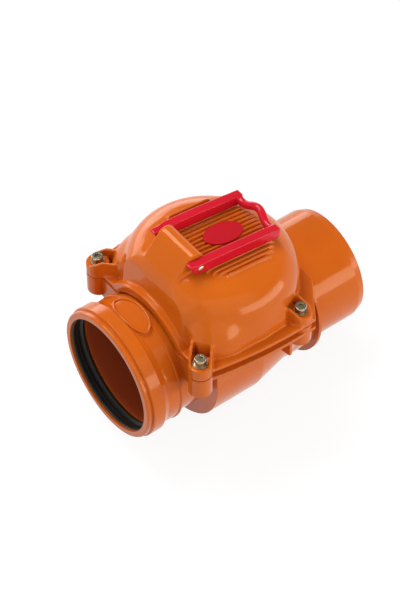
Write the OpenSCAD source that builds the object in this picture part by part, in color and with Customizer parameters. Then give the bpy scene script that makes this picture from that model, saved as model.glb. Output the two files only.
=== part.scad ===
// Backwater valve for a 110 mm drain pipe: body, bolted cover, flap and locking lever
// X is the flow direction, Z is up, the origin is the middle of the inlet mouth

/* [Pipe] */
// Outside diameter of the pipe and of the outlet spigot
pipe_d = 110; // [90:1:125]
// Depth of the inlet socket
socket_depth = 53; // [48:1:60]
// How far the outlet axis lies below the inlet axis
outlet_drop = 14; // [13:1:20]
// Length of the plain spigot behind the collar
spigot_len = 57; // [50:1:90]

/* [Body] */
// Wall thickness of the moulded body and cover
wall = 3; // [2.5:0.1:3.4]
// Length of the cover from its front wall to its back wall
cover_len = 134; // [130:1:140]
// Half width of the round chamber beyond the neck
drum_rise = 14.7; // [13:0.1:17]
// Thickness of the two flanges
flange_t = 3.5; // [3:0.5:4.5]
// Thickness of the cover gasket
gasket_t = 1.5; // [1:0.1:2]

/* [Cover] */
// Height of the dome above the flange plane
dome_h = 56; // [52:1:58]
// Half width of the round dome
dome_half = 77; // [74:1:78]
// Rounding of the dome edge
dome_r = 32; // [28:1:36]
// Number of grip ribs across the dome
rib_count = 19; // [11:2:21]
// Width of the hump that carries the lever shaft
hump_w = 43; // [38:1:48]

/* [Lever] */
// Slope of the lever when it lies back, in degrees
lever_slope = 7; // [5:1:9]
// Length of the lever from the shaft to its back end
lever_len = 86; // [70:1:92]
// Width of each lever arm
arm_w = 6.6; // [5:0.1:8]
// Diameter of the lever shaft
shaft_d = 5; // [4:0.5:6]

/* [Fasteners] */
// Diameter of the screw bosses
boss_d = 21; // [19:0.5:23]
// Nominal diameter of the cover screws
screw_d = 6; // [5:0.5:6.5]
// Diameter of the flap hinge pin
hinge_d = 6; // [5:0.5:6.5]

/* [Hidden] */
$fn = 64;
big = 400;
run = 0.05;

// Radii of the inlet side, all tied to the pipe
pipe_r = pipe_d / 2;
socket_r = pipe_r + 0.3;
neck_r = socket_r + 2.5;
lip_r = neck_r + 3.7;
band_r = neck_r + 2.4;
bead_r = neck_r + 5.4;
groove_r = bead_r - wall;
flow_r = pipe_r - 4.5;
seat_r = pipe_r - 7.5;
spout_r = pipe_r;
bore_out_r = pipe_r - wall - 0.2;
drum_r = neck_r + drum_rise;
collar_r = pipe_r + 7.5;
outneck_r = pipe_r + 2.2;

// Stations along the flow
front_x = socket_depth + 13;
seat_x = front_x + 6;
cover_x0 = front_x - 13;
cover_x1 = cover_x0 + cover_len;
arch_x0 = cover_x0 - 9;
mid_x = cover_x0 + 62;
taper_x = front_x + 51;
tub_x1 = cover_x1 - wall;
collar_x = cover_x1 + 2;
collar_t = 3;
end_x = collar_x + collar_t + spigot_len;

// Heights
part_z = pipe_r - outlet_drop;
cover_z = part_z + gasket_t;
dome_z = part_z + dome_h;
boss_bot_z = part_z - 23;
boss_top_z = cover_z + 10.5;

// Flange outline: two large arcs make the bulged sides
bulge_r = 400;
bulge_x = cover_x0 + 82;
flange_w = drum_r + 17.7;
groove_h = 5;
groove_in = 5.5;
seal_bulge_r = 120;
seal_bulge_x = cover_x0 + 52;
seal_w = drum_r + 10;
skirt_h = 46;
skirt_r = 40;
skirt_x1 = cover_x0 + 108;
skirt_w = drum_r + 7.5;
room_in = 5;
dome_tilt = lever_slope - 1;
dome_x = mid_x + 4;
brow_r = 20;
rib_h = 1.7;

// Screws
screw_x = [cover_x0 - 7, cover_x1 - 36.5];
screw_y = [drum_r + 2, drum_r + 7];
screw_r = screw_d / 2;
hole_r = screw_r + 0.4;
head_r = screw_r + 2.2;
head_h = screw_d;
washer_t = 1.2;
washer_r = screw_r + 3.4;
nut_af = screw_d * 10 / 6;
nut_h = 5;
nut_z = boss_bot_z + 3;
boss_r = boss_d / 2;
fin_h = 8;
fin_t = 2.4;

// Lever shaft and hump
shaft_r = shaft_d / 2;
pin_x = cover_x0 + 28;
pin_z = part_z + 68.5;
hump_r = 9.5;
hump_foot_x = cover_x0 + 2.5;
hump_foot_z = part_z + 53;
hump_y = hump_w / 2;
hump_wall = 3.6;
oring_r = shaft_r + 2.1;
oring_y = hump_y - hump_wall / 2;
arm_y0 = hump_y + 0.5;
arm_y1 = arm_y0 + arm_w;
arm_up = 4.7;
arm_dn = 4.6;
bar_r = 3.3;
bar_lift = 6;

// Lock finger
finger_len = 18;
finger_rest = 36;
finger_t = 4;
finger_w = 12;
hub_r = shaft_r + 3;

// Flap
hinge_r = hinge_d / 2;
hinge_x = front_x + 11;
hinge_z = seat_r + 12.5;
knuckle_r = hinge_r + 3.2;
bush_r = hinge_r + 1.2;
lug_y0 = 10;
lug_t = 5;
lug_y1 = lug_y0 + lug_t;
knuckle_y = lug_y0 - 0.4;
disc_x = seat_x + 3;
disc_t = 4.5;
disc_r = seat_r + 4.5;
seal_x = seat_x + 0.3;
clamp_r = seat_r - 4;
clamp_x = seal_x - 2.6;
clamp_screws = 6;
clamp_pitch = clamp_r - 7;
tail_len = 37;
tail_lean = 24.5;
tail_t = 5;

// Turn a profile about the flow axis, at a given height
module xrev(z = 0) translate([0, 0, z]) rotate([0, 90, 0]) rotate_extrude($fn = 96) children();

// A round bar along the flow
module xrod(x0, x1, r, z = 0) translate([x0, 0, z]) rotate([0, 90, 0]) cylinder(h = x1 - x0, r = r, $fn = 96);

// A round bar across the flow
module yrod(y0, y1, r, x = 0, z = 0) translate([x, y0, z]) rotate([-90, 0, 0]) cylinder(h = y1 - y0, r = r);

// A plate drawn in side view, pulled across the flow
module yplate(y0, y1) translate([0, y1, 0]) rotate([90, 0, 0]) linear_extrude(y1 - y0) children();

// Do the same on both sides
module both()
{
    children();
    mirror([0, 1, 0]) children();
}

// Put something at each of the four screws, turned to face the middle
module at_screws()
{
    for (i = [0, 1])
        for (s = [-1, 1])
            translate([screw_x[i], s * screw_y[i], 0])
                rotate([0, 0, atan2(-s * screw_y[i], mid_x - screw_x[i])])
                    children();
}

// Upright block with its two back corners trimmed
module trimmed(x0, x1, z0, h, y0, y1)
{
    translate([0, 0, z0]) linear_extrude(h)
        polygon([[x0, -y0], [x1 - 30, -y0], [x1, -y1], [x1, y1], [x1 - 30, y0], [x0, y0]]);
}

// Lens-shaped block between two large arcs, back corners trimmed
module lens(x0, x1, z0, h, r, w, cx)
{
    intersection()
    {
        trimmed(x0, x1, z0, h, w + 2, pipe_r - 5 - flange_w + w);
        translate([cx, r - w, z0 - 1]) cylinder(h = h + 2, r = r, $fn = 192);
        translate([cx, w - r, z0 - 1]) cylinder(h = h + 2, r = r, $fn = 192);
    }
}

// Flange plate, drawn in from the common outline by an inset
module flange_plate(x0, x1, z0, h, inset) lens(x0, x1, z0, h, bulge_r - inset, flange_w - inset, bulge_x);

// Chamber of the body: round below, straight above with its back corners cut
module tub(x0, x1, inset, top)
{
    r0 = drum_r - inset;
    r1 = drum_r - 15 - inset;
    xm = x1 - 16;
    w0 = r0 - 0.3;
    w1 = r1 - 10;
    wm = w0 - (r0 - r1) * (xm - taper_x) / (x1 - taper_x);
    intersection()
    {
        xrev() polygon([[0, x0], [r0, x0], [r0, taper_x], [r1, x1], [0, x1]]);
        translate([x0 - 1, -big / 2, 10 - big]) cube([x1 - x0 + 2, big, big]);
    }
    translate([0, 0, 1]) linear_extrude(top - 1)
        polygon([[x0, -w0], [taper_x, -w0], [xm, -wm], [x1, -w1], [x1, w1], [xm, wm], [taper_x, w0], [x0, w0]]);
}

// Outside of the inlet side: rounded lip, bead over the seal, band, edge and neck
module inlet_outside()
{
    xrev() union()
    {
        polygon([[0, 1.8], [lip_r, 1.8], [lip_r, 3.6], [lip_r - 0.7, 4.1], [lip_r - 0.7, 5.1],
                 [bead_r - 0.6, 5.6], [bead_r, 6.4], [bead_r, 17.5], [bead_r - 0.9, 18.6],
                 [band_r + 0.3, 22.5], [band_r, 24], [band_r, 35.5], [band_r + 0.9, 35.8],
                 [band_r + 0.9, 37.4], [neck_r, 38], [neck_r, front_x + 1], [0, front_x + 1]]);
        translate([lip_r - 1.8, 1.8]) circle(r = 1.8, $fn = 32);
        square([lip_r - 1.8, 3]);
    }
}

// Inside of the inlet side: mouth, seal groove, socket, stop and narrowing flow way
module inlet_inside()
{
    xrev() polygon([[0, -1], [socket_r, -1], [socket_r, 6], [groove_r, 6], [groove_r, 17], [socket_r, 17.4], [socket_r, socket_depth],
                    [flow_r, socket_depth], [seat_r, front_x], [seat_r, seat_x + 1], [0, seat_x + 1]]);
}

// Bare raised oval on top of the socket
module socket_oval()
{
    oval_x = 29;
    intersection()
    {
        translate([oval_x, 0, 0]) scale([11, 23.5, 1]) cylinder(h = big, r = 1, $fn = 72);
        difference()
        {
            xrod(oval_x - 15, oval_x + 15, bead_r);
            xrod(oval_x - 16, oval_x + 16, neck_r - 1);
        }
    }
}
module socket_oval_floor()
{
    oval_x = 29;
    intersection()
    {
        translate([oval_x, 0, 0]) scale([9.2, 21.3, 1]) cylinder(h = big, r = 1, $fn = 72);
        difference()
        {
            xrod(oval_x - 15, oval_x + 15, bead_r + 5);
            xrod(oval_x - 16, oval_x + 16, bead_r - 0.8);
        }
    }
}

// Body boss with a rounded foot
module body_boss()
{
    translate([0, 0, boss_bot_z + 2]) cylinder(h = part_z - boss_bot_z + 1, r = boss_r);
    translate([0, 0, boss_bot_z]) cylinder(h = 2, r1 = boss_r - 2, r2 = boss_r);
}

// Upright web between the neck and the front bosses
module front_webs()
{
    both() translate([screw_x[0] - 2, 0, boss_bot_z - 2])
        cube([4, screw_y[0], part_z - boss_bot_z]);
}

// Three-cornered stiffeners under the side flanges, ahead of the back bosses
module side_gussets()
{
    both() translate([screw_x[1] - boss_r, 0, 0]) rotate([90, 0, 90]) linear_extrude(2.6)
        polygon([[drum_r - 14, part_z - 1], [drum_r + 7.5, part_z - 1], [drum_r + 7.5, part_z - 39],
                 [drum_r - 14, part_z - 44]]);
}

// Hinge lug beside the flap knuckle, standing on the seat spout
module hinge_lug()
{
    yplate(lug_y0, lug_y1) polygon([[front_x, seat_r + 1], [seat_x - 0.2, seat_r + 1],
        [seat_x - 0.2, seat_r + 6], [hinge_x + 4, hinge_z - 4.6], [hinge_x, hinge_z + 6], [front_x, hinge_z - 3]]);
    yrod(lug_y0, lug_y1, hinge_r + 3.4, hinge_x, hinge_z);
}

module valve_body()
{
    color([0.84, 0.41, 0.14]) difference()
    {
        union()
        {
            difference()
            {
                union()
                {
                    inlet_outside();
                    socket_oval();
                    intersection()
                    {
                        union()
                        {
                            tub(front_x, cover_x1, 0, part_z + 4);
                            xrod(taper_x - 20, collar_x + 1, outneck_r, -outlet_drop);
                            flange_plate(arch_x0, cover_x1 + 1, part_z - groove_h - flange_t, flange_t, 0);
                            flange_plate(arch_x0 + 1, cover_x1, part_z - groove_h - 1, groove_h + 3, groove_in);
                            at_screws() body_boss();
                            front_webs();
                            side_gussets();
                        }
                        translate([0, -big / 2, part_z - big]) cube([big, big, big]);
                    }
                    xrod(collar_x, collar_x + collar_t, collar_r, -outlet_drop);
                    xrev(-outlet_drop) polygon([[0, collar_x], [pipe_r, collar_x], [pipe_r, end_x - 7],
                        [pipe_r - 2, end_x], [0, end_x]]);
                }
                tub(front_x + wall, tub_x1, wall, part_z + 6);
                xrod(taper_x - 20, end_x + 1, bore_out_r, -outlet_drop);
                socket_oval_floor();
            }
            xrod(front_x, seat_x, spout_r);
            intersection()
            {
                union()
                {
                    xrod(front_x, seat_x, spout_r + 0.8);
                    both() hinge_lug();
                }
                translate([front_x, -big / 2, -big / 2]) cube([big, big, big]);
            }
        }
        inlet_inside();
        yrod(-lug_y1 - 1, lug_y1 + 1, hinge_r, hinge_x, hinge_z);
        at_screws()
        {
            translate([0, 0, boss_bot_z - 1]) cylinder(h = big / 4, r = hole_r);
            translate([0, 0, boss_bot_z - 1]) cylinder(h = nut_z + nut_h - boss_bot_z + 1,
                r = (nut_af + 0.4) / sqrt(3), $fn = 6);
        }
    }
}

// Lip seal held in the socket groove
module inlet_lip_seal()
{
    color([0.08, 0.08, 0.07]) xrev()
        polygon([[groove_r - 0.05, 6.2], [groove_r - 0.05, 16.8], [socket_r + 1.6, 16.8], [socket_r + 0.1, 15.2],
                 [socket_r + 0.1, 13.8], [socket_r + 2.2, 12.2], [socket_r + 2.2, 10.6], [socket_r + 0.5, 9.2],
                 [socket_r + 0.5, 6.2]]);
}

// Gasket: flat sides and an arch over the inlet neck
module cover_gasket()
{
    color([0.1, 0.1, 0.09]) difference()
    {
        union()
        {
            lens(arch_x0 + 3, cover_x1 - 1, part_z, gasket_t, seal_bulge_r, seal_w, seal_bulge_x);
            intersection()
            {
                xrod(arch_x0 + 3, cover_x0, neck_r + gasket_t);
                translate([0, -big / 2, part_z]) cube([big, big, big]);
            }
        }
        lens(cover_x0, cover_x1 - 6, part_z - 1, gasket_t + 2, seal_bulge_r - 5, seal_w - 5, seal_bulge_x);
        xrod(0, front_x, neck_r + 0.02);
        at_screws() translate([0, 0, part_z - 1]) cylinder(h = gasket_t + 2, r = hole_r + 0.3);
    }
}

// Block with rounded upright corners and rounded top edges, all of one radius
module pillow(x0, x1, w, z0, z1, r)
{
    for (c = [[x1 - r, w - r, 0], [x0 + r, w - r, 90], [x0 + r, r - w, 180], [x1 - r, r - w, 270]])
        translate([c[0], c[1], z0]) rotate([0, 0, c[2]]) rotate_extrude(angle = 90, $fn = 96) pillow_edge(z1 - z0, r);
    translate([x1 - r, r - w, z0]) rotate([90, 0, 180]) linear_extrude(2 * (w - r)) mirror([1, 0]) pillow_edge(z1 - z0, r);
    translate([x0 + r, w - r, z0]) rotate([90, 0, 0]) linear_extrude(2 * (w - r)) mirror([1, 0]) pillow_edge(z1 - z0, r);
    translate([x0 + r, w - r, z0]) rotate([90, 0, 90]) linear_extrude(x1 - x0 - 2 * r) pillow_edge(z1 - z0, r);
    translate([x0 + r, r - w, z0]) rotate([90, 0, 90]) linear_extrude(x1 - x0 - 2 * r) mirror([1, 0]) pillow_edge(z1 - z0, r);
    translate([x0 + r, r - w, z0]) cube([x1 - x0 - 2 * r, 2 * (w - r), z1 - z0]);
}
module pillow_edge(h, r)
{
    square([r, h - r]);
    intersection()
    {
        translate([0, h - r]) circle(r = r, $fn = 96);
        translate([0, h - r]) square([r, r]);
    }
}

// The dome, round in plan with a flat brow in front and a flat back ahead of the collar,
// tilted down toward the outlet, grown or shrunk by a step
module dome(step)
{
    r = dome_r + step;
    half = dome_half + step;
    top = dome_z + step;
    low = cover_z - 16;
    brow = brow_r + step;
    reach = collar_x - 1.6 - mid_x + (dome_z + outlet_drop - collar_r) * tan(dome_tilt);
    back = mid_x + cos(dome_tilt) * reach + step;
    translate([mid_x, 0, dome_z]) rotate([0, dome_tilt, 0]) translate([-mid_x, 0, -dome_z]) intersection()
    {
        translate([dome_x, 0, low]) rotate_extrude($fn = 128) union()
        {
            square([half - r, top - low]);
            translate([half - r, 0]) pillow_edge(top - low, r);
        }
        yplate(-half - 5, half + 5) union()
        {
            translate([dome_x - 5, low - 1]) square([back - dome_x + 5, top - low + 2]);
            translate([cover_x0 + 1 - step + brow, low - 1]) mirror([1, 0]) pillow_edge(top - low + 1, brow);
            translate([cover_x0 + 1 - step + brow, low - 1]) square([dome_x - cover_x0 - brow, top - low + 2 - 0.9]);
        }
    }
}

// The bulged shoulders under the dome, with an upright front wall and rounded sides
module skirt(step, r)
{
    intersection()
    {
        trimmed(cover_x0 - step, skirt_x1 + step, cover_z - 3, skirt_h + 10, skirt_w + 4, pipe_r - 10 + step);
        pillow(cover_x0 - 8 - step, skirt_x1 + 8 + step, skirt_w + step, cover_z - 5, cover_z - 3 + skirt_h + min(step, 0), r);
    }
}

// Hump: flat front face that runs onto a round over the shaft
module hump(step, y)
{
    dx = pin_x - hump_foot_x;
    dz = pin_z - hump_foot_z;
    a = atan2(dz, dx) + asin(hump_r / sqrt(dx * dx + dz * dz));
    r = hump_r - step;
    k = r - 0.08;
    t = [pin_x - k * sin(a), pin_z + k * cos(a)];
    f = [hump_foot_x + step * sin(a), hump_foot_z - step * cos(a)];
    low = dome_z - 12;
    yplate(-y, y) polygon([f, t, [pin_x + k, pin_z], [pin_x + k, low], [f[0] + 1, low]]);
    yrod(-y, y, r, pin_x, pin_z);
}

// Grip ribs over an oval field
module ribs()
{
    pitch = 4.8;
    field_x = mid_x + 8;
    half = (rib_count - 1) / 2;
    intersection()
    {
        dome(rib_h);
        for (i = [-half:half])
        {
            reach = 44 * sqrt(1 - pow(i / (half + 1.5), 2));
            translate([field_x - reach, i * pitch - 1.2, dome_z - 30]) cube([2 * reach, 2.4, 40]);
        }
    }
}

// Cover boss: low in front of the screw, with two fins that climb the skirt behind it
module cover_boss()
{
    translate([0, 0, cover_z - 2]) cylinder(h = boss_top_z - cover_z + 2, r = boss_r);
    both() yplate(boss_r - fin_t - 0.6, boss_r - 0.6)
        polygon([[-5, cover_z - 1.5], [-5, boss_top_z + 1], [6, boss_top_z + fin_h], [boss_r + 11, boss_top_z + fin_h],
                 [boss_r + 11, cover_z - 1.5]]);
}

// Feet that carry the cover bosses down to the body bosses, kept off the gasket
module cover_feet()
{
    difference()
    {
        at_screws() translate([0, 0, part_z + 0.2]) cylinder(h = gasket_t + 1.5, r = boss_r - 0.35);
        lens(arch_x0, cover_x1, part_z - 1, gasket_t + 1.6, seal_bulge_r + 0.5, seal_w + 0.5, seal_bulge_x);
    }
}

// Everything above the underside of the cover
module above() translate([0, -big / 2, cover_z]) cube([big, big, big]);

// Room inside the cover
module cover_room()
{
    skirt(-room_in, skirt_r - 3);
    dome(-wall);
}

// Hood: skirt, dome and hump, hollow and open below
module cover_hood()
{
    difference()
    {
        intersection()
        {
            union()
            {
                skirt(0, skirt_r);
                dome(0);
                hump(0, hump_y);
            }
            above();
        }
        cover_room();
        hump(wall, hump_y - hump_wall);
    }
}

// Flat flange, arch over the neck and the four bosses, all kept out of the room inside
module cover_rim()
{
    difference()
    {
        intersection()
        {
            union()
            {
                flange_plate(arch_x0, cover_x1 + 1, cover_z - 1, flange_t + 1, 0);
                xrod(arch_x0, cover_x0 + 1.5, neck_r + 10.5);
                at_screws() cover_boss();
            }
            above();
        }
        skirt(-room_in + 1.2, skirt_r - 3);
        dome(-wall + 1);
    }
}

module cover()
{
    color([0.84, 0.41, 0.14]) difference()
    {
        union()
        {
            cover_hood();
            cover_rim();
            cover_feet();
            difference()
            {
                ribs();
                dome(-1);
                hump(0, hump_y + 1);
            }
        }
        xrod(0, seat_x, neck_r + gasket_t + 0.02);
        yrod(-hump_y - 1, hump_y + 1, shaft_r + run, pin_x, pin_z);
        both() yrod(oring_y - 1, oring_y + 1, oring_r + 0.05, pin_x, pin_z);
        at_screws()
        {
            translate([0, 0, part_z - 1]) cylinder(h = big / 4, r = hole_r);
            translate([0, 0, boss_top_z]) cylinder(h = big / 4, r = washer_r + 0.6);
        }
    }
}

// Socket-head screws, one per boss
module cover_screws()
{
    color([0.75, 0.73, 0.68]) at_screws() translate([0, 0, boss_top_z + washer_t]) difference()
    {
        union()
        {
            cylinder(h = head_h - 0.6, r = head_r);
            translate([0, 0, head_h - 0.6]) cylinder(h = 0.6, r1 = head_r, r2 = head_r - 0.6);
            translate([0, 0, nut_z - boss_top_z - washer_t - 2]) cylinder(h = boss_top_z + washer_t - nut_z + 2, r = screw_r);
        }
        translate([0, 0, head_h - 3.4]) cylinder(h = 4, r = screw_d * 5 / 12 / cos(30), $fn = 6);
    }
}

module cover_washers()
{
    color([0.72, 0.7, 0.66]) at_screws() translate([0, 0, boss_top_z]) difference()
    {
        cylinder(h = washer_t, r = washer_r);
        translate([0, 0, -1]) cylinder(h = washer_t + 2, r = screw_r + 0.2);
    }
}

module cover_nuts()
{
    color([0.72, 0.7, 0.66]) at_screws() translate([0, 0, nut_z]) difference()
    {
        cylinder(h = nut_h, r = nut_af / sqrt(3), $fn = 6);
        translate([0, 0, -1]) cylinder(h = nut_h + 2, r = screw_r + 0.02);
    }
}

// Two O-rings in the hump walls
module shaft_orings()
{
    color([0.1, 0.1, 0.1]) both() translate([pin_x, oring_y, pin_z]) rotate([90, 0, 0]) rotate_extrude($fn = 48)
        translate([(oring_r + shaft_r + 0.3) / 2, 0]) circle(r = (oring_r - shaft_r - 0.3) / 2, $fn = 24);
}

// Bare oval plate that lies on the ribs between the lever arms
module indicator_plate()
{
    color([0.78, 0.08, 0.16]) translate([mid_x, 0, dome_z]) rotate([0, dome_tilt, 0])
        translate([12, 0, rib_h]) scale([20, 12, 1]) cylinder(h = 2, r = 1, $fn = 72);
}

// Bail lever in its own frame: the shaft is at the origin, the arms point along X
module lever_local()
{
    difference()
    {
        union()
        {
            both() yplate(arm_y0, arm_y1)
                polygon([[-11.5, arm_up - 1], [-10.5, arm_up], [lever_len - 1.5, arm_up], [lever_len, arm_up - 1.5],
                         [lever_len, -arm_dn], [-4.5, -arm_dn], [-6, -arm_dn + 0.6]]);
            lever_bar();
        }
        yrod(-arm_y1 - 1, arm_y1 + 1, shaft_r);
    }
}

// Waved cross bar: it dips behind each arm, then swells up and back in the middle
module lever_bar()
{
    at = lever_len - bar_r - 0.4;
    y = [1, 0.73, 0.5, 0.27, 0, -0.27, -0.5, -0.73, -1];
    lift = [0.1, 0, 0.3, 0.8, 1, 0.8, 0.3, 0, 0.1];
    function spot(i) = [bar_lift * lift[i], (arm_y0 + 2) * y[i], 0];
    translate([at, 0, 0.6]) rotate([0, -62, 0]) for (i = [0:7])
    {
        d = spot(i + 1) - spot(i);
        translate(spot(i)) rotate([-90, 0, atan2(-d[0], d[1])]) cylinder(h = norm(d), r = bar_r, $fn = 32);
        if (i > 0)
            translate(spot(i)) sphere(r = bar_r + 0.12, $fn = 32);
    }
}

// Everything on the shaft is drawn in the lever frame and laid back by the slope
module on_shaft(turn = 0) translate([pin_x, 0, pin_z]) rotate([0, turn, 0]) children();

module locking_lever()
{
    color([0.8, 0.09, 0.17]) on_shaft(lever_slope) lever_local();
}

module lever_shaft()
{
    color([0.75, 0.73, 0.68]) on_shaft() difference()
    {
        yrod(-arm_y1 - 0.3, arm_y1 + 0.3, shaft_r);
        rotate([0, -finger_rest, 0]) translate([-hub_r - 1, 0, 0]) rotate([0, 90, 0]) cylinder(h = 2 * hub_r + 2, r = 1);
    }
}

// Finger that blocks the flap tail when the lever is raised
module lock_finger()
{
    color([0.25, 0.25, 0.27]) on_shaft(-finger_rest) difference()
    {
        union()
        {
            yrod(-finger_w / 2 - 2, finger_w / 2 + 2, hub_r);
            translate([-finger_len + finger_t / 2, -finger_w / 2, -finger_t / 2]) cube([finger_len - finger_t / 2, finger_w, finger_t]);
            yrod(-finger_w / 2, finger_w / 2, finger_t / 2, -finger_len + finger_t / 2, 0);
        }
        yrod(-finger_w, finger_w, shaft_r);
        translate([-hub_r - 1, 0, 0]) rotate([0, 90, 0]) cylinder(h = 2 * hub_r + 2, r = 1);
    }
}

// Cross pin through finger hub and shaft
module finger_pin()
{
    color([0.7, 0.69, 0.66]) on_shaft(-finger_rest) translate([-hub_r + 0.3, 0, 0])
        rotate([0, 90, 0]) cylinder(h = 2 * hub_r - 0.6, r = 1);
}

// Flap disc with its neck, knuckle, tail and stiffening ribs
module flap()
{
    color([0.3, 0.3, 0.32]) difference()
    {
        union()
        {
            xrod(disc_x, disc_x + disc_t, disc_r);
            difference()
            {
                xrod(disc_x, disc_x + disc_t + 3, disc_r - 5);
                xrod(disc_x, disc_x + disc_t + 4, disc_r - 8);
            }
            for (y = [-14, 0, 14])
                translate([disc_x + disc_t - 1, y - 1.4, -disc_r + 12]) cube([4, 2.8, 2 * disc_r - 24]);
            translate([disc_x, -knuckle_y + 1, disc_r - 6]) cube([disc_t, 2 * knuckle_y - 2, hinge_z - disc_r + 6]);
            yrod(-knuckle_y, knuckle_y, knuckle_r, hinge_x, hinge_z);
            translate([hinge_x, 0, hinge_z]) rotate([0, tail_lean, 0])
            {
                translate([-tail_t / 2, -6, 0]) cube([tail_t, 12, tail_len - 2.5]);
                translate([0, 0, tail_len - 2.5]) rotate([90, 0, 0]) translate([0, 0, -6]) cylinder(h = 12, r = tail_t / 2);
            }
        }
        yrod(-knuckle_y - 1, knuckle_y + 1, bush_r, hinge_x, hinge_z);
        for (i = [0:clamp_screws - 1])
            rotate([i * 360 / clamp_screws, 0, 0]) translate([0, 0, clamp_pitch])
                rotate([0, 90, 0]) cylinder(h = disc_x + disc_t - 1, r = 1.5);
    }
}

module flap_bushes()
{
    color([0.85, 0.84, 0.8]) both() difference()
    {
        yrod(0.3, knuckle_y, bush_r, hinge_x, hinge_z);
        yrod(-1, knuckle_y + 1, hinge_r + run, hinge_x, hinge_z);
    }
}

module flap_seal()
{
    color([0.1, 0.1, 0.09]) difference()
    {
        xrev() polygon([[clamp_r - 12, seal_x], [disc_r - 0.6, seal_x], [disc_r, seal_x + 0.8], [disc_r, disc_x], [clamp_r - 12, disc_x]]);
        for (i = [0:clamp_screws - 1])
            rotate([i * 360 / clamp_screws, 0, 0]) translate([0, 0, clamp_pitch])
                rotate([0, 90, 0]) cylinder(h = disc_x + 1, r = 1.5);
    }
}

module flap_clamp()
{
    color([0.3, 0.3, 0.32]) difference()
    {
        xrev() polygon([[0, clamp_x], [clamp_r - 1.5, clamp_x], [clamp_r, clamp_x + 1.5], [clamp_r, seal_x], [clamp_r - 12.2, seal_x],
                        [clamp_r - 12.2, disc_x], [0, disc_x]]);
        for (i = [0:clamp_screws - 1])
            rotate([i * 360 / clamp_screws, 0, 0]) translate([0, 0, clamp_pitch])
                rotate([0, 90, 0]) cylinder(h = disc_x + 1, r = 1.5);
    }
}

module flap_screws()
{
    color([0.75, 0.73, 0.68]) for (i = [0:clamp_screws - 1])
        rotate([i * 360 / clamp_screws, 0, 0]) translate([0, 0, clamp_pitch]) rotate([0, 90, 0]) difference()
        {
            union()
            {
                translate([0, 0, clamp_x - 2]) cylinder(h = 2, r1 = 2, r2 = 2.8, $fn = 32);
                translate([0, 0, clamp_x]) cylinder(h = disc_x + disc_t - 1 - clamp_x, r = 1.5, $fn = 32);
            }
            translate([-3, -0.4, clamp_x - 3]) cube([6, 0.8, 1.9]);
        }
}

module hinge_pin()
{
    color([0.75, 0.73, 0.68]) difference()
    {
        yrod(-lug_y1 - 4, lug_y1 + 4, hinge_r, hinge_x, hinge_z);
        both() difference()
        {
            yrod(lug_y1 + 0.6, lug_y1 + 1.6, hinge_r + 1, hinge_x, hinge_z);
            yrod(lug_y1, lug_y1 + 3, hinge_r - 0.7, hinge_x, hinge_z);
        }
    }
}

// Open retaining clips in the pin grooves
module hinge_clips()
{
    color([0.6, 0.58, 0.55]) both() difference()
    {
        yrod(lug_y1 + 0.6, lug_y1 + 1.6, hinge_r + 2.2, hinge_x, hinge_z);
        yrod(lug_y1, lug_y1 + 3, hinge_r - 0.7, hinge_x, hinge_z);
        translate([hinge_x - hinge_r + 0.9, lug_y1, hinge_z]) cube([2 * hinge_r - 1.8, 3, 10]);
    }
}

valve_body();
inlet_lip_seal();
cover_gasket();
cover();
cover_screws();
cover_washers();
cover_nuts();
shaft_orings();
indicator_plate();
hinge_pin();
hinge_clips();
locking_lever();
lever_shaft();
lock_finger();
finger_pin();
flap();
flap_seal();
flap_clamp();
flap_screws();
flap_bushes();
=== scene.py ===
"""Backwater valve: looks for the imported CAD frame."""
import math

import bmesh
import bpy
import numpy as np
from mathutils import Matrix, Vector


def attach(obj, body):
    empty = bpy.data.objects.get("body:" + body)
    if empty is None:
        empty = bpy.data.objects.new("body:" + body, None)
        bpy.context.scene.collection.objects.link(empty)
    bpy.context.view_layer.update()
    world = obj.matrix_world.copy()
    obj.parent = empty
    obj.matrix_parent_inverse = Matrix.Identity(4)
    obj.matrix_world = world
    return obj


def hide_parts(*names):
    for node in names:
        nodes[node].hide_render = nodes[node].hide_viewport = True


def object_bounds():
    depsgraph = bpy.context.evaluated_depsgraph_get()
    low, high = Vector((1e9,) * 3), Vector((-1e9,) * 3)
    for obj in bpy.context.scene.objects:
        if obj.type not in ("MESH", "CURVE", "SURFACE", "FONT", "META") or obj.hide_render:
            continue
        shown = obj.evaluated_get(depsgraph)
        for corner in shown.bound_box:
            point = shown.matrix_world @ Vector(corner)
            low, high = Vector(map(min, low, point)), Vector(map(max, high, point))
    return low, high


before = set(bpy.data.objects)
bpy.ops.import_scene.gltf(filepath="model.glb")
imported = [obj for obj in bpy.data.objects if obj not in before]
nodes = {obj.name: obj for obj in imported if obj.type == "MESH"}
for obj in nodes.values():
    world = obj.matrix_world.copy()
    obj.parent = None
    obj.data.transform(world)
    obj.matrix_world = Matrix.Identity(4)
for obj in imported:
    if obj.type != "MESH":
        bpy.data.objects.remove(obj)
cad_lo, cad_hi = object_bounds()
scene = bpy.context.scene
scene.view_settings.view_transform = "Standard"
MM = 0.001


# Helpers for shader trees

def tree(name):
    """A new material with only an output and a Principled shader."""
    mat = bpy.data.materials.new(name)
    mat.use_nodes = True
    nt = mat.node_tree
    nt.nodes.clear()
    out = nt.nodes.new("ShaderNodeOutputMaterial")
    shader = nt.nodes.new("ShaderNodeBsdfPrincipled")
    nt.links.new(shader.outputs["BSDF"], out.inputs["Surface"])
    return mat, nt, shader


def object_coords(nt):
    """Coordinates in the object's own space, in metres."""
    return nt.nodes.new("ShaderNodeTexCoord").outputs["Object"]


def calc(nt, operation, *values):
    """A Math node; each value is a socket or a float."""
    node = nt.nodes.new("ShaderNodeMath")
    node.operation = operation
    for socket, value in zip(node.inputs, values):
        if isinstance(value, float):
            socket.default_value = value
        else:
            nt.links.new(value, socket)
    return node.outputs[0]


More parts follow.
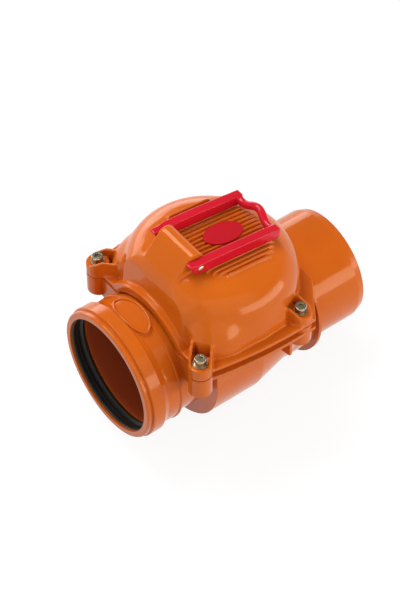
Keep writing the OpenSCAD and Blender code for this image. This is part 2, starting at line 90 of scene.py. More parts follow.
def vector_length(nt, vector):
    """Length of a vector."""
    node = nt.nodes.new("ShaderNodeVectorMath")
    node.operation = "LENGTH"
    nt.links.new(vector, node.inputs[0])
    return node.outputs["Value"]


def one_axis(nt, vector, axis):
    """The X, Y or Z of a vector."""
    node = nt.nodes.new("ShaderNodeSeparateXYZ")
    nt.links.new(vector, node.inputs[0])
    return node.outputs[axis]


def noise(nt, coords, scale, detail=3.0, rough=0.55, stretch=None):
    """A noise value in object space, in cycles per metre."""
    if stretch is not None:
        mapping = nt.nodes.new("ShaderNodeMapping")
        mapping.inputs["Scale"].default_value = stretch
        nt.links.new(coords, mapping.inputs["Vector"])
        coords = mapping.outputs["Vector"]
    tex = nt.nodes.new("ShaderNodeTexNoise")
    tex.inputs["Scale"].default_value = scale
    tex.inputs["Detail"].default_value = detail
    tex.inputs["Roughness"].default_value = rough
    nt.links.new(coords, tex.inputs["Vector"])
    return tex.outputs["Fac"]


def spread(nt, value, lo, hi, from_lo=0.3, from_hi=0.7):
    """Map a value to a new range, clamped at its ends."""
    node = nt.nodes.new("ShaderNodeMapRange")
    node.inputs["From Min"].default_value = from_lo
    node.inputs["From Max"].default_value = from_hi
    node.inputs["To Min"].default_value = lo
    node.inputs["To Max"].default_value = hi
    nt.links.new(value, node.inputs["Value"])
    return node.outputs["Result"]


def mix(nt, fac, a, b):
    """Mix two colours by a value; each colour is a socket or a tuple."""
    node = nt.nodes.new("ShaderNodeMix")
    node.data_type = "RGBA"
    nt.links.new(fac, node.inputs["Factor"])
    for key, colour in (("A", a), ("B", b)):
        socket = [s for s in node.inputs if s.name == key and s.type == "RGBA"][0]
        if isinstance(colour, tuple):
            socket.default_value = (*colour, 1.0)
        else:
            nt.links.new(colour, socket)
    return [s for s in node.outputs if s.type == "RGBA"][0]


def bumps(nt, shader, heights, bevel):
    """Chain bumps, each a height, a strength and a depth, over softened edges."""
    soft = nt.nodes.new("ShaderNodeBevel")
    soft.samples = 6
    soft.inputs["Radius"].default_value = bevel
    normal = soft.outputs["Normal"]
    for value, strength, depth in heights:
        node = nt.nodes.new("ShaderNodeBump")
        node.inputs["Strength"].default_value = strength
        node.inputs["Distance"].default_value = depth
        nt.links.new(value, node.inputs["Height"])
        nt.links.new(normal, node.inputs["Normal"])
        normal = node.outputs["Normal"]
    nt.links.new(normal, shader.inputs["Normal"])


def seen_ray(nt):
    """1 for rays from the camera and for glossy and transmitted rays, else 0."""
    rays = nt.nodes.new("ShaderNodeLightPath").outputs
    bounced = calc(nt, "MAXIMUM", rays["Is Glossy Ray"], rays["Is Transmission Ray"])
    return calc(nt, "MAXIMUM", rays["Is Camera Ray"], bounced)


# Where the insides of the two pipes start and end; each pair is a soft border
SOCKET_WALL = (56.0 * MM, 57.0 * MM)
SOCKET_MOUTH = (3.0 * MM, 22.0 * MM)
SOCKET_END = (70.0 * MM, 74.0 * MM)
OUTLET_DROP = 14.0 * MM
OUTLET_WALL = (52.2 * MM, 52.8 * MM)
OUTLET_START = (130.0 * MM, 140.0 * MM)
# Roughness added inside both pipes
BORE_DULL = 0.42


def off_axis(nt, coords, drop):
    """Distance from a pipe's axis, which runs along X at a drop below the origin."""
    flat = nt.nodes.new("ShaderNodeVectorMath")
    flat.operation = "MULTIPLY_ADD"
    nt.links.new(coords, flat.inputs[0])
    flat.inputs[1].default_value = (0.0, 1.0, 1.0)
    flat.inputs[2].default_value = (0.0, 0.0, drop)
    return vector_length(nt, flat.outputs[0])


def in_socket(nt, coords):
    """1 deep inside the inlet socket, else 0."""
    x = one_axis(nt, coords, "X")
    inside = spread(nt, off_axis(nt, coords, 0.0), 1.0, 0.0, *SOCKET_WALL)
    inside = calc(nt, "MULTIPLY", inside, spread(nt, x, 0.0, 1.0, *SOCKET_MOUTH))
    return calc(nt, "MULTIPLY", inside, spread(nt, x, 1.0, 0.0, *SOCKET_END))


def in_outlet(nt, coords):
    """1 inside the outlet pipe, else 0."""
    x = one_axis(nt, coords, "X")
    inside = spread(nt, off_axis(nt, coords, OUTLET_DROP), 1.0, 0.0, *OUTLET_WALL)
    return calc(nt, "MULTIPLY", inside, spread(nt, x, 0.0, 1.0, *OUTLET_START))


# Finishes

def moulded(name, colour, deep, rough, peel=0.05, bevel=0.9 * MM, shine=0.5, socket_shade=None,
            gleam=(1.0, 1.0, 1.0)):
    """Injection-moulded plastic: faint cloudiness, orange-peel skin, uneven gloss.

    With a colour given for it, the inside of the socket is painted darker as painted shade, and
    the insides of both pipes are dull.
    """
    mat, nt, shader = tree(name)
    coords = object_coords(nt)
    cloud = spread(nt, noise(nt, coords, scale=14.0, detail=2.0), 0.0, 1.0)
    grit = noise(nt, coords, scale=420.0, detail=4.0, rough=0.7)
    fleck = spread(nt, grit, 0.0, 0.18, from_lo=0.52, from_hi=0.75)
    base = mix(nt, cloud, colour, deep)
    base = mix(nt, fleck, base, tuple(c * 0.8 for c in deep))
    gloss = spread(nt, noise(nt, coords, scale=55.0, detail=3.0), rough - 0.05, rough + 0.06)
    if socket_shade is not None:
        socket = in_socket(nt, coords)
        # Painted shade: the inside of the inlet socket is painted a darker red-brown
        base = mix(nt, socket, base, socket_shade)
        for inside in (socket, in_outlet(nt, coords)):
            gloss = calc(nt, "MULTIPLY_ADD", inside, BORE_DULL, gloss)
    nt.links.new(base, shader.inputs["Base Color"])
    nt.links.new(gloss, shader.inputs["Roughness"])
    shader.inputs["IOR"].default_value = 1.5
    shader.inputs["Specular IOR Level"].default_value = shine
    shader.inputs["Specular Tint"].default_value = (*gleam, 1.0)
    skin = noise(nt, coords, scale=620.0, detail=2.0)
    sink = noise(nt, coords, scale=28.0, detail=1.0)
    bumps(nt, shader, [(sink, 0.12, 0.6 * MM), (skin, peel, 0.08 * MM)], bevel)
    return mat


def plated(name, colour, rough, brushed=(1.0, 1.0, 1.0)):
    """Bright or zinc-plated steel: mottled, with fine turning marks."""
    mat, nt, shader = tree(name)
    coords = object_coords(nt)
    patches = noise(nt, coords, scale=260.0, detail=4.0, rough=0.65)
    blotch = spread(nt, patches, 0.0, 1.0, from_lo=0.4, from_hi=0.62)
    tint = tuple(c * f for c, f in zip(colour, (1.02, 0.93, 0.74)))
    nt.links.new(mix(nt, blotch, colour, tint), shader.inputs["Base Color"])
    shader.inputs["Metallic"].default_value = 1.0
    marks = noise(nt, coords, scale=1500.0, detail=3.0, rough=0.6, stretch=brushed)
    nt.links.new(spread(nt, marks, rough - 0.06, rough + 0.1), shader.inputs["Roughness"])
    bumps(nt, shader, [(marks, 0.08, 0.05 * MM)], bevel=0.35 * MM)
    return mat


def rubber(name, colour, rough):
    """Moulded rubber: dusty bloom and a fine matt grain."""
    mat, nt, shader = tree(name)
    coords = object_coords(nt)
    dust = noise(nt, coords, scale=60.0, detail=5.0, rough=0.7)
    bloom = spread(nt, dust, 0.0, 0.5, from_lo=0.45, from_hi=0.75)
    pale = tuple(c + 0.02 for c in colour)
    nt.links.new(mix(nt, bloom, colour, pale), shader.inputs["Base Color"])
    grain = noise(nt, coords, scale=1800.0, detail=2.0)
    nt.links.new(spread(nt, grain, rough - 0.05, rough + 0.1), shader.inputs["Roughness"])
    bumps(nt, shader, [(grain, 0.1, 0.06 * MM)], bevel=0.4 * MM)
    return mat


# The socket colour here is painted shade: a darker red-brown for the inside of the inlet socket,
# where little light reaches
orange = moulded("pvc_orange", (0.62, 0.122, 0.008), (0.57, 0.108, 0.006), rough=0.13, shine=0.32,
                 socket_shade=(0.35, 0.052, 0.012), gleam=(1.0, 0.80, 0.54))
red = moulded("lever_red", (0.62, 0.007, 0.022), (0.54, 0.005, 0.017), rough=0.16, peel=0.03,
              shine=0.3)
plate_red = moulded("plate_red", (0.55, 0.008, 0.020), (0.48, 0.006, 0.015), rough=0.34, peel=0.08,
                    bevel=0.5 * MM, shine=0.15)
grey = moulded("flap_grey", (0.075, 0.077, 0.085), (0.055, 0.056, 0.062), rough=0.42, peel=0.08,
               bevel=0.6 * MM)
white = moulded("bush_white", (0.70, 0.69, 0.64), (0.62, 0.61, 0.56), rough=0.38, bevel=0.3 * MM)
zinc = plated("zinc_steel", (0.45, 0.42, 0.33), rough=0.17)
turned = plated("turned_steel", (0.62, 0.61, 0.58), rough=0.22, brushed=(1.0, 6.0, 1.0))
black = rubber("seal_black", (0.012, 0.012, 0.010), rough=0.42)


def paint(piece, finish):
    """Give a piece one finish."""
    piece.data.materials.clear()
    piece.data.materials.append(finish)


finish_of = {
    orange: ["valve_body", "cover"],
    black: ["inlet_lip_seal", "cover_gasket", "shaft_orings", "flap_seal"],
    zinc: ["cover_screws", "cover_washers", "cover_nuts", "flap_screws"],
    turned: ["hinge_pin", "hinge_clips", "lever_shaft", "finger_pin"],
    red: ["locking_lever"],
    plate_red: ["indicator_plate"],
    grey: ["flap", "flap_clamp", "lock_finger"],
    white: ["flap_bushes"],
}
for finish, names in finish_of.items():
    for node_name in names:
        paint(nodes[node_name], finish)


# Helpers for meshes; places are in millimetres

def step(value, lo, hi):
    """0 below lo, 1 above hi, smooth between."""
    t = np.clip((value - lo) / (hi - lo), 0.0, 1.0)
    return t * t * (3.0 - 2.0 * t)


def fall(value, lo, hi):
    """1 below lo, 0 above hi, smooth between."""
    return 1 - step(value, lo, hi)


def circle(count):
    """Angles of points spaced evenly round a full turn."""
    return [2 * math.pi * i / count for i in range(count)]


def band(lo, hi, around):
    """Quads between two rings of points, which start at lo and hi."""
    nexts = [(j + 1) % around for j in range(around)]
    return [[lo + j, lo + m, hi + m, hi + j] for j, m in enumerate(nexts)]


def back_band(lo, hi, around):
    """The same quads, facing the other way."""
    nexts = [(j + 1) % around for j in range(around)]
    return [[lo + j, hi + j, hi + m, lo + m] for j, m in enumerate(nexts)]


def flipped(faces):
    """Faces that look the other way."""
    return [face[::-1] for face in faces]


def mesh_object(name, points, faces):
    """A new mesh object."""
    data = bpy.data.meshes.new(name)
    data.from_pydata([tuple(c * MM for c in p) for p in points], [], faces)
    obj = bpy.data.objects.new(name, data)
    scene.collection.objects.link(obj)
    return obj


TUBE_SIDES = 16


def tube(name, path, side_of, radius, closed):
    """Round tube along a path; side_of gives a direction across it at each point."""
    count = len(path)
    points, faces = [], []
    for i, p in enumerate(path):
        ahead = path[(i + 1) % count] if closed or i < count - 1 else p
        behind = path[i - 1] if closed or i > 0 else p
        along = (ahead - behind).normalized()
        side = Vector(side_of(p))
        side = (side - side.dot(along) * along).normalized()
        other = along.cross(side)
        for turn in circle(TUBE_SIDES):
            points.append(p + radius * (math.cos(turn) * side + math.sin(turn) * other))
    for i in range(count if closed else count - 1):
        faces += band(i * TUBE_SIDES, (i + 1) % count * TUBE_SIDES, TUBE_SIDES)
    if not closed:
        faces.append(list(range(TUBE_SIDES))[::-1])
        faces.append([(count - 1) * TUBE_SIDES + j for j in range(TUBE_SIDES)])
    return mesh_object(name, points, faces)


def evened(name, node_name, helpers, voxel):
    """One closed mesh of even quads round a CAD mesh and the closed solids that overlap it."""
    joined = bmesh.new()
    for data in [nodes[node_name].data] + [helper.data for helper in helpers]:
        joined.from_mesh(data)
    for helper in helpers:
        bpy.data.objects.remove(helper)
    rough = bpy.data.meshes.new(name + "_rough")
    joined.to_mesh(rough)
    joined.free()
    holder = bpy.data.objects.new(name + "_rough", rough)
    scene.collection.objects.link(holder)
    grid = holder.modifiers.new("even", "REMESH")
    grid.mode = "VOXEL"
    grid.voxel_size = voxel * MM
    graph = bpy.context.evaluated_depsgraph_get()
    data = bpy.data.meshes.new_from_object(holder.evaluated_get(graph))
    bpy.data.objects.remove(holder)
    bpy.data.meshes.remove(rough)
    data.name = name
    return data


def eased(data, weight, rounds):
    """Move each point toward the middle of its neighbours, by a weight from its place."""
    count = len(data.vertices)
    flat = np.empty(count * 3)
    data.vertices.foreach_get("co", flat)
    at = flat.reshape(-1, 3)
    ends = np.empty(len(data.edges) * 2, dtype=np.int32)
    data.edges.foreach_get("vertices", ends)
    a, b = ends[0::2], ends[1::2]
    near = np.maximum(np.bincount(ends, minlength=count), 1)
    pull = 0.5 * weight(*(at.T / MM))
    for _ in range(rounds):
        for k in range(3):
            line = at[:, k].copy()
            total = np.bincount(a, line[b], count) + np.bincount(b, line[a], count)
            at[:, k] += pull * (total / near - line)
    data.vertices.foreach_set("co", at.ravel())
    data.update()


def thinned(name, data, share):
    """A piece from the mesh with a share of its faces, shaded smooth."""
    holder = bpy.data.objects.new(name + "_full", data)
    scene.collection.objects.link(holder)
    fewer = holder.modifiers.new("fewer", "DECIMATE")
    fewer.ratio = share
    graph = bpy.context.evaluated_depsgraph_get()
    final = bpy.data.meshes.new_from_object(holder.evaluated_get(graph))
    bpy.data.objects.remove(holder)
    bpy.data.meshes.remove(data)
    final.name = name
    final.shade_smooth()
    piece = bpy.data.objects.new(name, final)
    scene.collection.objects.link(piece)
    return piece


# Cover skin: a copy of the cover, filled out at the sides, evened out and eased, so that
# its edges and inner corners run softly into each other as on the real moulding

# The dome's own frame: u along it, y across it and w up from its flat top, turned about Y
DOME_TURN = math.radians(6.0)
DOME_X, DOME_Z = 115.0, 97.0
DOME_AXIS = 4.0
DOME_TOP_R, DOME_EDGE_R = 45.0, 32.0
DOME_COS, DOME_SIN = math.cos(DOME_TURN), math.sin(DOME_TURN)
# The fuller sides, which are cover_skin's own
SIDE_DRAFT = math.radians(11.0)
SIDE_EDGE_W = -DOME_EDGE_R * (1.0 - math.sin(SIDE_DRAFT))
SIDE_EDGE_R = DOME_TOP_R + DOME_EDGE_R * math.cos(SIDE_DRAFT)
SIDE_ROUNDS = 6
SWELL_FIRST, SWELL_STEP, SWELL_COUNT = 72.0, 2.0, 28
SWELL_FOOT, SWELL_RISE, SWELL_ROWS = 43.4, 2.2, 13
SWELL_FADE = (74.0, 90.0)
SWELL_SINK, SWELL_THICK = 0.4, 1.2

# Places of the front and back screws on each side
SCREWS = [(46.0, 74.5), (150.5, 79.5)]
# Voxel size, rounds of easing, and the share of the faces that is kept
COVER_VOXEL, COVER_ROUNDS, COVER_SHARE = 0.75, 200, 0.25
# Softness on the hump and least softness, and how far other places hold it back
HUMP_SOFT, BESIDE_CRISP = 0.10, 0.97
LEAST_SOFT, RIBS_CRISP = 0.012, 0.011


def dome_side(turn, z, out):
    """Point of the dome's side at an angle and a height; out is 0 if upright, 1 if drafted."""
    w = z - DOME_Z
    for _ in range(SIDE_ROUNDS):
        drafted = max(SIDE_EDGE_W - w, 0.0) * math.tan(SIDE_DRAFT) * out
        r = SIDE_EDGE_R + drafted - SWELL_SINK * (1.0 - out)
        u = DOME_AXIS + r * math.cos(turn)
        w = (z - DOME_Z + u * DOME_SIN) / DOME_COS
    return DOME_X + u * DOME_COS + w * DOME_SIN, r * math.sin(turn), z


def side_swell(name, sign):
    """Thin closed band that fills the dome's side out to the wall foot."""
    turns = [math.radians(sign * (SWELL_FIRST + SWELL_STEP * i)) for i in range(SWELL_COUNT)]
    heights = [SWELL_FOOT + SWELL_RISE * i for i in range(SWELL_ROWS)]
    rows, cols = len(turns), len(heights)
    layer = rows * cols
    points, faces = [], []
    for outer in (False, True):
        for turn in turns:
            out = float(step(abs(math.degrees(turn)), *SWELL_FADE)) if outer else 0.0
            inward = 0.0 if outer else SWELL_THICK
            for height in heights:
                x, y, z = dome_side(turn, height, out)
                points.append((x - inward * math.cos(turn), y - inward * math.sin(turn), z))
    for outer in (False, True):
        for i in range(rows - 1):
            for j in range(cols - 1):
                lo = outer * layer + i * cols + j
                hi = lo + cols
                quad = [lo, hi, hi + 1, lo + 1]
                faces.append(quad if outer == (sign > 0) else quad[::-1])
    rim = [(i, 0) for i in range(rows)]
    rim += [(rows - 1, j) for j in range(1, cols)]
    rim += [(i, cols - 1) for i in range(rows - 2, -1, -1)]
    rim += [(0, j) for j in range(cols - 2, 0, -1)]
    edge = [i * cols + j for i, j in rim]
    for this, after in zip(edge, edge[1:] + edge[:1]):
        quad = [this, after, after + layer, this + layer]
        faces.append(quad if sign > 0 else quad[::-1])
    return mesh_object(name, points, faces)


def cover_weight(x, y, z):
    """How soft the cover is: most on shoulders and brow, least on ribs, bosses and rims."""
    side = np.abs(y)
    soft = step(z, 47.5, 53.0)
    soft *= step(x, 52.0, 56.0)
    in_ribs = fall(side, 46.0, 51.0) * step(x, 76.0, 82.0)
    in_ribs = in_ribs * fall(x, 164.0, 170.0) * step(z, 70.0, 76.0)
    soft *= 1 - in_ribs
    on_hump = fall(side, 23.0, 27.0) * step(z, 93.0, 97.0) * fall(x, 92.0, 96.0)
    soft = soft * (1 - on_hump) + HUMP_SOFT * on_hump
    # The corners beside the hump stay crisp, to leave room for the lever's front ends
    beside = step(side, 18.0, 21.0) * fall(side, 31.0, 37.0) * step(z, 84.0, 89.0)
    beside *= step(x, 57.0, 64.0) * fall(x, 94.0, 100.0)
    soft *= 1 - BESIDE_CRISP * beside
    for screw_x, screw_y in SCREWS:
        away = np.hypot(x - screw_x, side - screw_y)
        soft *= 1 - fall(away, 15.0, 24.0) * fall(z, 62.0, 68.0)
    return np.maximum(soft, LEAST_SOFT - RIBS_CRISP * in_ribs)


swells = [side_swell("swell_near", -1), side_swell("swell_far", 1)]
skin = evened("cover_skin", "cover", swells, COVER_VOXEL)
eased(skin, cover_weight, COVER_ROUNDS)
cover_skin = thinned("cover_skin", skin, COVER_SHARE)
paint(cover_skin, orange)
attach(cover_skin, "valve")
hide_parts("cover")


# Lever skin: a copy of the lever with fuller arms and a rounder bar, eased the same way

# The lever's own frame: x along the arms from the shaft, z up, turned about Y
LEVER_AT = Vector((81.0, 0.0, 109.5))
LEVER_TURN = Matrix.Rotation(math.radians(7.0), 3, "Y")
BAR_X, BAR_Y, BAR_Z, BAR_R = 82.3, 24.0, 0.6, 3.8
BAR_LIFT, BAR_LEAN, BAR_WAVE = 6.0, math.radians(62.0), 0.72
BAR_HALF_STEPS = 24
ARM_INNER = 22.05
# Along the arm: x, outer y, lowest z and highest z
ARM_STATIONS = [(-5.0, 29.7, -5.2, 3.6), (3.5, 30.0, -5.8, 5.2), (14.0, 30.3, -5.3, 5.9),
                (30.0, 30.4, -5.0, 6.1), (85.6, 30.2, -5.0, 5.6)]
LEVER_VOXEL, LEVER_ROUNDS, LEVER_SHARE = 0.5, 24, 0.3
ARM_SOFT, BAR_SOFTER, BAR_FADE = 0.20, 0.30, (150.0, 158.0)


def on_lever(x, y, z):
    """Place of a point given in the lever's frame."""
    return LEVER_AT + LEVER_TURN @ Vector((x, y, z))


def bar_path():
    """Middle line of the waved cross bar."""
    path = []
    for i in range(2 * BAR_HALF_STEPS + 1):
        y = 1.0 - i / BAR_HALF_STEPS
        lift = BAR_LIFT * (0.5 + 0.5 * math.cos(math.pi * min(abs(y) / BAR_WAVE, 1.0)))
        path.append(on_lever(BAR_X + lift * math.cos(BAR_LEAN), y * BAR_Y,
                             BAR_Z + lift * math.sin(BAR_LEAN)))
    return path


def arm_swell(name, sign):
    """Closed block that makes a lever arm fuller from its front end to its back end."""
    points, faces = [], []
    for x, outer, lo, hi in ARM_STATIONS:
        for y, z in ((ARM_INNER, lo), (outer, lo), (outer, hi), (ARM_INNER, hi)):
            points.append(on_lever(x, sign * y, z))
    last = 4 * len(ARM_STATIONS) - 4
    for start in range(0, last, 4):
        faces += band(start, start + 4, 4)
    faces += [[0, 3, 2, 1], [last + j for j in range(4)]]
    return mesh_object(name, points, faces if sign > 0 else flipped(faces))


def lever_weight(x, y, z):
    """How soft the lever is: most at the bar."""
    return ARM_SOFT + BAR_SOFTER * step(x, *BAR_FADE)


bar = tube("bar_round", bar_path(), lambda p: (0, 0, 1), BAR_R, closed=False)
arms = [arm_swell("arm_far", 1), arm_swell("arm_near", -1)]
skin = evened("lever_skin", "locking_lever", [bar] + arms, LEVER_VOXEL)
eased(skin, lever_weight, LEVER_ROUNDS)
lever_skin = thinned("lever_skin", skin, LEVER_SHARE)
paint(lever_skin, red)
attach(lever_skin, "lever")
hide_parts("locking_lever")


# Ribs over an oval field of the dome, each with round ends

RIB_PITCH, RIB_HALF, RIB_FIELD, RIB_REACH = 4.8, 9, 8.0, 44.0
RIB_SECTION = [(-1.3, -1.0), (-1.3, 1.7), (-0.8, 2.5), (0.8, 2.5), (1.3, 1.7), (1.3, -1.0)]
RIB_STEPS, RIB_END_R, RIB_END_START, RIB_END_WIDTH = 44, 2.6, 0.05, 0.55
HUMP_BACK, HUMP_SIDE = -23.0, 23.2


def dome_height(u, y):
    """Height of the dome's face over its own frame, at most 0."""
    out = max(math.hypot(u - DOME_AXIS, y) - DOME_TOP_R, 0.0)
    return math.sqrt(max(DOME_EDGE_R ** 2 - out ** 2, 0.0)) - DOME_EDGE_R


def on_dome(u, y, w):
    """Place of a point given in the dome's frame."""
    return DOME_X + u * DOME_COS + w * DOME_SIN, y, DOME_Z - u * DOME_SIN + w * DOME_COS


def grip_ribs():
    """All ribs as one mesh; those behind the hump start at its back."""
    points, faces = [], []
    around = len(RIB_SECTION)
    for i in range(-RIB_HALF, RIB_HALF + 1):
        mid = i * RIB_PITCH
        reach = RIB_REACH * math.sqrt(1 - (i / (RIB_HALF + 1.5)) ** 2)
        first = RIB_FIELD - reach
        if abs(mid) < HUMP_SIDE:
            first = max(first, HUMP_BACK)
        length = RIB_FIELD + reach - first
        base = len(points)
        for k in range(RIB_STEPS + 1):
            u = first + length * k / RIB_STEPS
            end = min(length * k / RIB_STEPS, length * (RIB_STEPS - k) / RIB_STEPS)
            short = max(1 - (end + RIB_END_START) / RIB_END_R, 0.0)
            full = math.sqrt(max(1 - short ** 2, 0.0))
            for side, rise in RIB_SECTION:
                y = mid + side * (RIB_END_WIDTH + (1 - RIB_END_WIDTH) * full)
                lift = rise * full if rise > 0 else rise
                points.append(on_dome(u, y, dome_height(u, y) + lift))
        last = base + RIB_STEPS * around
        for lo in range(base, last, around):
            faces += back_band(lo, lo + around, around)
        faces.append([base + j for j in range(around)])
        faces.append([last + j for j in range(around)][::-1])
    return mesh_object("grip_ribs", points, faces)


ribs = grip_ribs()
paint(ribs, orange)
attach(ribs, "valve")


# Domed ends of the lever shaft: radius of each ring and its height over CAP_Y

CAP_RINGS = [(2.75, 0.0), (2.75, 0.35), (2.45, 0.75), (1.8, 1.05), (0.95, 1.2)]
CAP_Y, CAP_SIDES = 29.5, 32


def pin_caps():
    """Both caps as one mesh."""
    points, faces = [], []
    for sign in (-1, 1):
        base = len(points)
        for r, out in CAP_RINGS:
            for turn in circle(CAP_SIDES):
                spot = (r * math.cos(turn), sign * (CAP_Y + out), r * math.sin(turn))
                points.append(LEVER_AT + Vector(spot))
        last = base + (len(CAP_RINGS) - 1) * CAP_SIDES
        cap = []
        for lo in range(base, last, CAP_SIDES):
            cap += band(lo, lo + CAP_SIDES, CAP_SIDES)
        cap.append([base + j for j in range(CAP_SIDES)][::-1])
        cap.append([last + j for j in range(CAP_SIDES)])
        faces += cap if sign < 0 else flipped(cap)
    return mesh_object("pin_caps", points, faces)


caps = pin_caps()
caps.data.shade_smooth()
paint(caps, turned)
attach(caps, "lever")


# Wiper lip of the inlet seal, lying ahead of it in the mouth: x and radius of its section

LIP_SECTION = [(2.2, 55.28), (2.6, 54.85), (3.4, 54.6), (5.4, 54.55), (6.3, 55.0), (6.3, 55.28)]
LIP_STEPS = 128


def wiper_lip():
    """The section turned about the socket's axis."""
    points, faces = [], []
    around = len(LIP_SECTION)
    for i, turn in enumerate(circle(LIP_STEPS)):
        points += [(x, r * math.cos(turn), r * math.sin(turn)) for x, r in LIP_SECTION]
        faces += back_band(i * around, (i + 1) % LIP_STEPS * around, around)
    return mesh_object("seal_lip", points, faces)


seal_lip = wiper_lip()
seal_lip.data.shade_smooth()
paint(seal_lip, black)
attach(seal_lip, "valve")


# Raised rim of the bare oval on the socket

OVAL_X, OVAL_LONG, OVAL_WIDE, OVAL_R = 29.0, 10.2, 22.4, 62.9
RIM_R, RIM_STEPS = 1.15, 96


def oval_path():
    """Middle line of the rim, lying round the socket."""
    path = []
    for turn in circle(RIM_STEPS):
        y = OVAL_WIDE * math.sin(turn)
        path.append(Vector((OVAL_X + OVAL_LONG * math.cos(turn), y,
                            math.sqrt(OVAL_R ** 2 - y * y))))
    return path


oval_rim = tube("oval_rim", oval_path(), lambda p: (0, p[1], p[2]), RIM_R, closed=True)
oval_rim.data.shade_smooth()
paint(oval_rim, orange)
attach(oval_rim, "valve")


# Stage: white floor and world, soft lamps and the photo's camera; sizes are in metres

FLOOR_HALF, FLOOR_GAP = 6.0, 0.0002
FLOOR_GREY, FLOOR_SHADE = 0.50, 0.14
FLOOR_GLOW = (0.88, 1.0)
GLOW_REACH = (0.5, 1.0)
WORLD_SOFT = 0.40
WORLD_SEEN = (1.0, 0.25)
WORLD_FADE = (0.10, 0.36)
WHITE = (1, 1, 1, 1)


def floor_material():
    """Grey for the light it gives back; white with a faint shadow where it is seen."""
    mat = bpy.data.materials.new("floor_white")
    mat.use_nodes = True
    nt = mat.node_tree
    nt.nodes.clear()
    out = nt.nodes.new("ShaderNodeOutputMaterial")
    plain = nt.nodes.new("ShaderNodeBsdfDiffuse")
    plain.inputs["Color"].default_value = (FLOOR_GREY, FLOOR_GREY, FLOOR_GREY, 1)
    shade = nt.nodes.new("ShaderNodeBsdfDiffuse")
    shade.inputs["Color"].default_value = (FLOOR_SHADE, FLOOR_SHADE, FLOOR_SHADE, 1)
    glow = nt.nodes.new("ShaderNodeEmission")
    glow.inputs["Color"].default_value = WHITE
    far = vector_length(nt, object_coords(nt))
    nt.links.new(spread(nt, far, *FLOOR_GLOW, *GLOW_REACH), glow.inputs["Strength"])
    both = nt.nodes.new("ShaderNodeAddShader")
    nt.links.new(shade.outputs[0], both.inputs[0])
    nt.links.new(glow.outputs[0], both.inputs[1])
    pick = nt.nodes.new("ShaderNodeMixShader")
    nt.links.new(seen_ray(nt), pick.inputs[0])
    nt.links.new(plain.outputs[0], pick.inputs[1])
    nt.links.new(both.outputs[0], pick.inputs[2])
    nt.links.new(pick.outputs[0], out.inputs["Surface"])
    return mat


def floor_plane():
    """Square floor just below the part."""
    z = cad_lo.z - FLOOR_GAP
    corners = [(-FLOOR_HALF, -FLOOR_HALF, z), (FLOOR_HALF, -FLOOR_HALF, z),
               (FLOOR_HALF, FLOOR_HALF, z), (-FLOOR_HALF, FLOOR_HALF, z)]
    data = bpy.data.meshes.new("floor")
    data.from_pydata(corners, [], [(0, 1, 2, 3)])
    obj = bpy.data.objects.new("floor", data)
    scene.collection.objects.link(obj)
    return obj


def studio_world():
    """Soft even light; where it is seen, white at the horizon and darker overhead."""
    world = bpy.data.worlds.new("studio")
    world.use_nodes = True
    nt = world.node_tree
    nt.nodes.clear()
    out = nt.nodes.new("ShaderNodeOutputWorld")
    soft = nt.nodes.new("ShaderNodeBackground")
    soft.inputs["Color"].default_value = WHITE
    soft.inputs["Strength"].default_value = WORLD_SOFT
    seen = nt.nodes.new("ShaderNodeBackground")
    seen.inputs["Color"].default_value = WHITE
    way = nt.nodes.new("ShaderNodeTexCoord").outputs["Generated"]
    nt.links.new(spread(nt, one_axis(nt, way, "Z"), *WORLD_SEEN, *WORLD_FADE),
                 seen.inputs["Strength"])
    pick = nt.nodes.new("ShaderNodeMixShader")
    nt.links.new(seen_ray(nt), pick.inputs[0])
    nt.links.new(soft.outputs[0], pick.inputs[1])
    nt.links.new(seen.outputs[0], pick.inputs[2])
    nt.links.new(pick.outputs[0], out.inputs["Surface"])
    return world


LAMP_AIM = Vector((123 * MM, 0, 10 * MM))
# Azimuth and elevation in degrees, distance, two sides and watts
LAMPS = {
    "top_box": (100, 64, 1.3, 0.7, 0.6, 10.0),
    "back_box": (86, 11, 1.2, 1.7, 0.45, 6.0),
    "left_box": (182, 28, 1.3, 1.4, 1.2, 4.0),
    "right_box": (300, 10, 1.4, 1.7, 0.5, 12.0),
    "near_box": (262, 36, 1.6, 1.8, 1.2, 5.5),
}


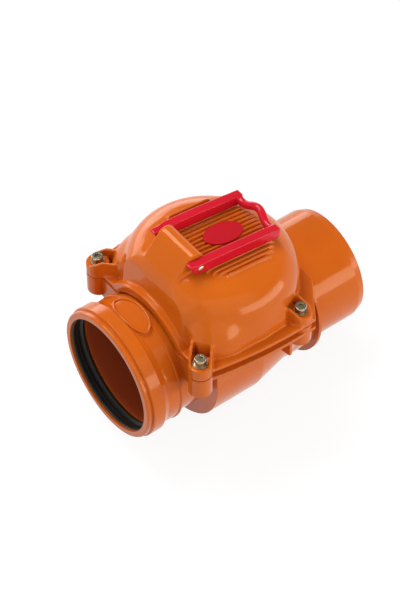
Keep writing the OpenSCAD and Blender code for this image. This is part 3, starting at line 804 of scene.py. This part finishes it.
def lamp(name, azimuth, elevation, distance, size_x, size_y, watts):
    """Soft box aimed at the part; azimuth is measured from +X toward +Y."""
    a, e = math.radians(azimuth), math.radians(elevation)
    way = Vector((math.cos(a) * math.cos(e), math.sin(a) * math.cos(e), math.sin(e)))
    at = LAMP_AIM + distance * way
    data = bpy.data.lights.new(name, "AREA")
    data.shape = "RECTANGLE"
    data.size = size_x
    data.size_y = size_y
    data.energy = watts
    obj = bpy.data.objects.new(name, data)
    turn = (LAMP_AIM - at).to_track_quat("-Z", "Y").to_matrix().to_4x4()
    obj.matrix_world = Matrix.Translation(at) @ turn
    obj.visible_camera = False
    scene.collection.objects.link(obj)


# The photo's view, from a fit of the pipe circles: angles in degrees, lens and shift in
# pixels of the photo, distance and aim in millimetres
VIEW_TURN, VIEW_DROP = 37.31, 47.83
VIEW_FOCAL, PHOTO_HEIGHT = 2059.0, 600.0
VIEW_SHIFT = (18.3, -11.9)
VIEW_FAR, VIEW_AIM = 1842.0, Vector((123.0, 0, 0))
SENSOR_HEIGHT = 36.0


def photo_camera():
    """Camera with the photo's place, angle and lens."""
    turn, drop = math.radians(VIEW_TURN), math.radians(VIEW_DROP)
    ahead = Vector((math.sin(turn), math.cos(turn), 0))
    right = Vector((math.cos(turn), -math.sin(turn), 0))
    look = ahead * math.cos(drop) - Vector((0, 0, math.sin(drop)))
    up = ahead * math.sin(drop) + Vector((0, 0, math.cos(drop)))
    shift = [pixels * VIEW_FAR / VIEW_FOCAL for pixels in VIEW_SHIFT]
    at = (VIEW_AIM - (shift[0] * right + shift[1] * up + VIEW_FAR * look)) * MM
    data = bpy.data.cameras.new("photo_camera")
    data.sensor_fit = "VERTICAL"
    data.sensor_height = SENSOR_HEIGHT
    data.lens = VIEW_FOCAL * SENSOR_HEIGHT / PHOTO_HEIGHT
    data.clip_start = 0.01
    data.clip_end = 50.0
    cam = bpy.data.objects.new("photo_camera", data)
    cam.matrix_world = Matrix(((right.x, up.x, -look.x, at.x), (right.y, up.y, -look.y, at.y),
                               (right.z, up.z, -look.z, at.z), (0, 0, 0, 1)))
    scene.collection.objects.link(cam)
    scene.camera = cam


floor = floor_plane()
floor.data.materials.append(floor_material())
scene.world = studio_world()
for lamp_name, setting in LAMPS.items():
    lamp(lamp_name, *setting)
photo_camera()
